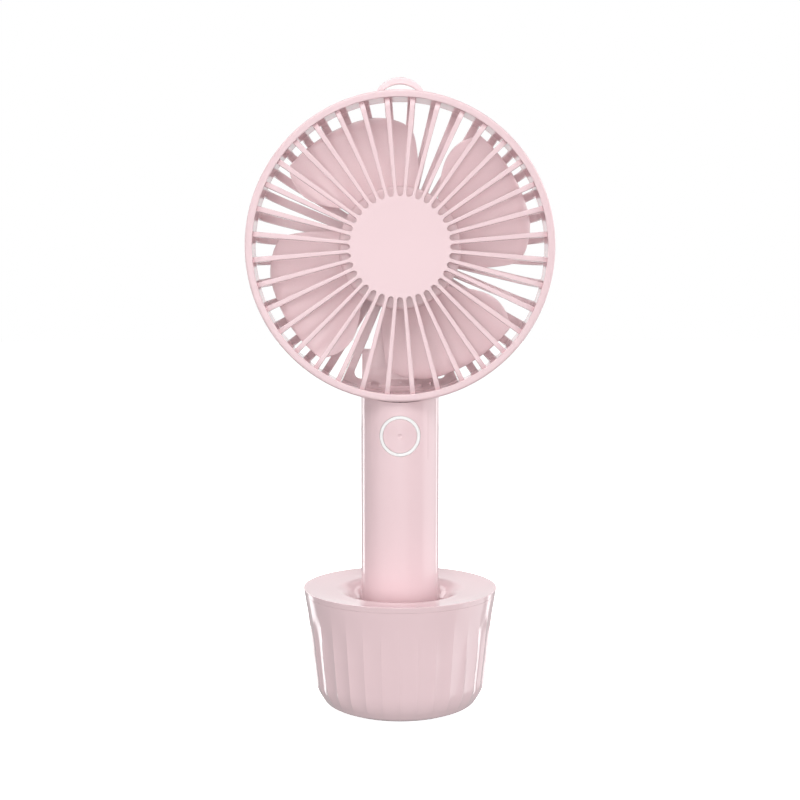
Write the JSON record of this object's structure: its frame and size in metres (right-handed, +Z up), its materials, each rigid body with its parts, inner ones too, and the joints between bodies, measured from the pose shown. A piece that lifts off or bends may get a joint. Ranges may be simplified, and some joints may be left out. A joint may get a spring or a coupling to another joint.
{
  "type": "handheld fan",
  "caption": "Handheld electric fan with a round slotted guard, a plain cylindrical handle with a push button, and a fluted pot-shaped desk stand.",
  "frame": {"origin": "middle of the stand's underside, on the handle's axis", "axes": "+Z up along the handle; the air leaves towards -Y; +X is to the right seen from the front"},
  "size_m": [0.105, 0.0684, 0.2185],
  "materials": {
    "pink_shell": "satin moulded ABS",
    "pink_button": "satin moulded ABS",
    "light_guide": "frosted clear acrylic",
    "soft_liner": "matt silicone",
    "soft_foot": "matt rubber",
    "plated_steel": "zinc plated",
    "ballast_steel": "bare punched steel",
    "rotor_steel": "drawn steel",
    "ferrite": "bonded magnet",
    "lamination": "varnished laminations",
    "copper": "enamelled wire",
    "bronze": "sintered bush",
    "dark_plastic": "glass-filled nylon",
    "white_plastic": "moulded ABS",
    "circuit_board": "solder-masked board",
    "chip": "moulded package",
    "led": "moulded lens",
    "cell_wrap": "shrink wrapped can",
    "nickel": "nickel strip",
    "lead_insulation": "soft insulation"
  },
  "bodies": {
    "base": {"pot_shell": "pink_shell", "top_collar": "pink_shell", "ballast_plate": "ballast_steel", "bottom_cover": "pink_shell", "foot_pad": "soft_foot", "base_screws": "plated_steel"},
    "socket_liner": {"socket_liner": "soft_liner"},
    "fan": {"front_guard": "pink_shell", "rear_guard": "pink_shell", "wire_cover": "pink_shell", "shaft_bush": "bronze", "stator_core": "lamination", "stator_coils": "copper", "motor_base": "dark_plastic", "motor_board": "circuit_board", "motor_screws": "plated_steel", "motor_leads": "lead_insulation", "handle_tube": "pink_shell", "handle_end_cap": "pink_shell", "neck_screw": "plated_steel", "light_ring": "light_guide", "cell_sled": "white_plastic", "battery_cell": "cell_wrap", "cell_tabs": "nickel", "battery_leads": "lead_insulation", "control_board": "circuit_board", "usb_socket": "plated_steel", "tact_switch": "dark_plastic", "status_leds": "led", "charger_chip": "chip", "power_coil": "chip"},
    "impeller": {"impeller": "pink_shell", "rotor_cup": "rotor_steel", "rotor_magnet": "ferrite", "motor_shaft": "plated_steel", "shaft_clip": "plated_steel"},
    "button": {"button_cap": "pink_button", "switch_plunger": "dark_plastic"}
  },
  "joints": [
    {"name": "stand_swivel", "type": "hinge", "parent": "base", "child": "socket_liner", "pos_m": [0, 0, 0.02], "axis": [0, 0, 1], "continuous": true},
    {"name": "fan_lift", "type": "slide", "parent": "socket_liner", "child": "fan", "axis": [0, 0, 1], "range_m": [0, 0.06]},
    {"name": "impeller_spin", "type": "hinge", "parent": "fan", "child": "impeller", "pos_m": [0, 0, 0.1606], "axis": [0, 1, 0], "continuous": true},
    {"name": "power_button_press", "type": "slide", "parent": "fan", "child": "button", "axis": [0, 1, 0], "range_m": [0, 0.00045], "stiffness_N_per_m": 800, "springref_m": -0.0003}
  ]
}
